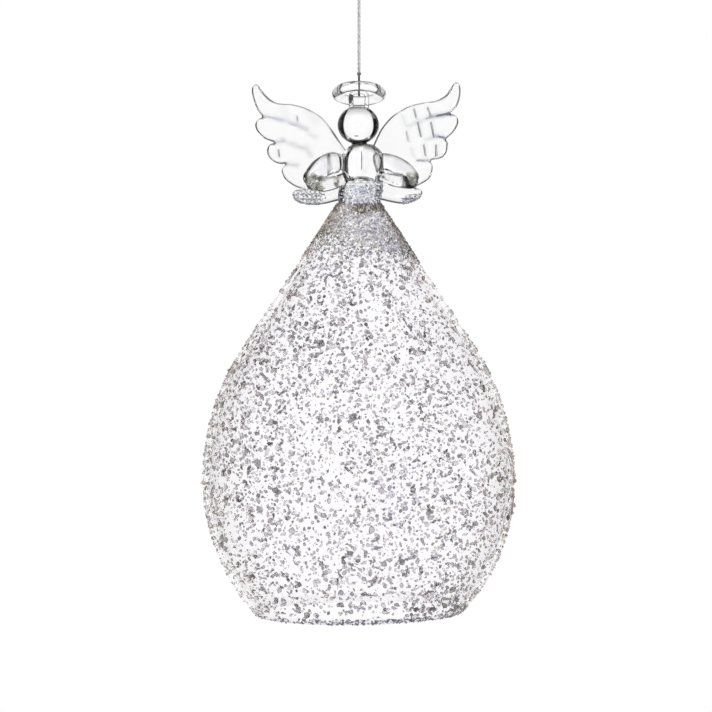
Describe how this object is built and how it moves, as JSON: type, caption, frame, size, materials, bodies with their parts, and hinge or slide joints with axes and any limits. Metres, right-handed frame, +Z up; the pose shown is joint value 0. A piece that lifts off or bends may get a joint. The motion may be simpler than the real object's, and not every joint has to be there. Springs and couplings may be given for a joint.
{
  "type": "hanging glass ornament",
  "caption": "Clear glass angel ornament: hollow teardrop skirt with silvery granules, arms, feathered wings and halo, hung on a thread.",
  "frame": {"origin": "where a hook bears on the thread loop, above the centre of the angel", "axes": "+Z up along the thread, -Y out of the front of the angel, where its hands are, +X to the right as seen from the front"},
  "size_m": [0.0858, 0.0858, 0.1976],
  "materials": {
    "clear_glass": "clear fire-polished lampworked glass",
    "silver_granules": "coarse crushed silvery glass granules glued on",
    "champagne_glitter": "dense fine champagne and silver glitter",
    "silver_glitter": "fine silver glitter",
    "silver_thread": "twisted two-ply metallic silver thread"
  },
  "bodies": {
    "loop": {"hanging_loop": "silver_thread"},
    "knot": {"top_knot": "silver_thread"},
    "thread": {"hanging_thread": "silver_thread", "lower_knot": "silver_thread", "thread_bight": "silver_thread"},
    "angel": {"skirt_shell": "clear_glass", "base_rim": "clear_glass", "granule_coat": "silver_granules", "glitter_collar": "champagne_glitter", "waist": "clear_glass", "waist_glitter": "silver_glitter", "bust": "clear_glass", "neck": "clear_glass", "head": "clear_glass", "left_upper_arm": "clear_glass", "left_forearm": "clear_glass", "right_upper_arm": "clear_glass", "right_forearm": "clear_glass", "left_wing": "clear_glass", "left_wing_glitter": "silver_glitter", "right_wing": "clear_glass", "right_wing_glitter": "silver_glitter", "halo_ring": "clear_glass", "halo_stem": "clear_glass", "hanging_eye": "clear_glass"}
  },
  "joints": [
    {"name": "thread_spin", "type": "hinge", "parent": "loop", "child": "knot", "pos_m": [0, 0, -0.024], "axis": [0, 0, 1], "continuous": true},
    {"name": "thread_swing", "type": "hinge", "parent": "knot", "child": "thread", "pos_m": [0, 0, -0.024], "axis": [0, 1, 0], "range_deg": [-30, 30]},
    {"name": "eye_rock", "type": "hinge", "parent": "thread", "child": "angel", "pos_m": [0, 0, -0.056], "axis": [1, 0, 0], "range_deg": [-25, 25]}
  ]
}
